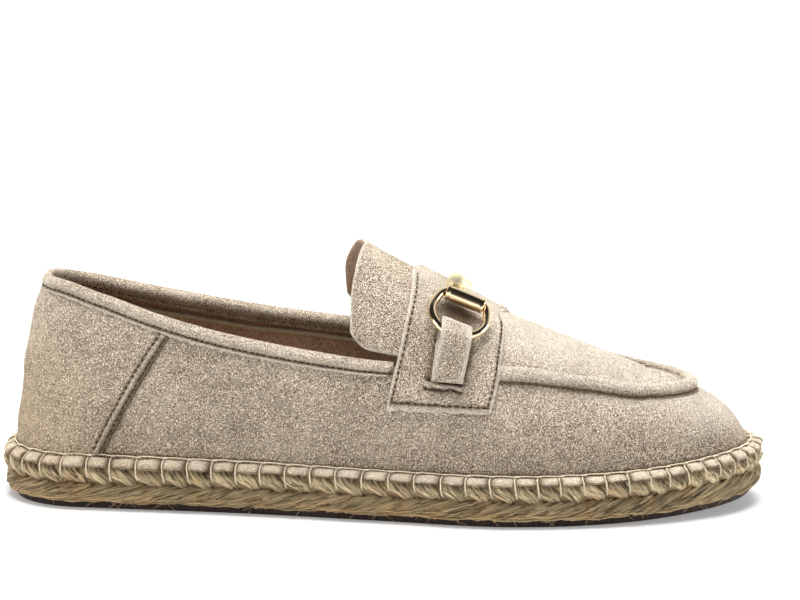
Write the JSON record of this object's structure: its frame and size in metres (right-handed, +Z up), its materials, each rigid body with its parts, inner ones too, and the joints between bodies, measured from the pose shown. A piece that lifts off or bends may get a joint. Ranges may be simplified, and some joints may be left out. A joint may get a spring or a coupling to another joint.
{
  "type": "horsebit loafer",
  "caption": "Low slip-on shoe with a saddle strap and metal bit over the instep, a raised apron seam and a rope-braided sole.",
  "frame": {"origin": "middle of the shoe's box in plan, at the floor under the outsole", "axes": "+X from heel to toe, +Y to the inner (medial) side of a right foot, +Z up"},
  "size_m": [0.2599, 0.091, 0.0887],
  "materials": {
    "suede": "napped sand suede",
    "suede_light": "napped light sand suede",
    "lining": "smooth brown lining",
    "jute": "braided jute rope",
    "rubber": "matte dark brown rubber",
    "gold": "polished, pale gold"
  },
  "bodies": {
    "root": {"outsole": "rubber", "rope_sole": "jute", "insole": "lining", "upper": "suede", "heel_counter": "suede", "collar_binding": "suede", "apron_ridge": "suede", "tongue": "suede", "strap": "suede", "keeper_outer": "suede_light", "keeper_inner": "suede_light", "bit_link": "gold", "bit_arm_outer": "gold", "bit_arm_inner": "gold", "bit_ring_outer": "gold", "bit_ring_inner": "gold", "bit_barrel_outer": "gold", "bit_barrel_inner": "gold"}
  },
  "joints": []
}
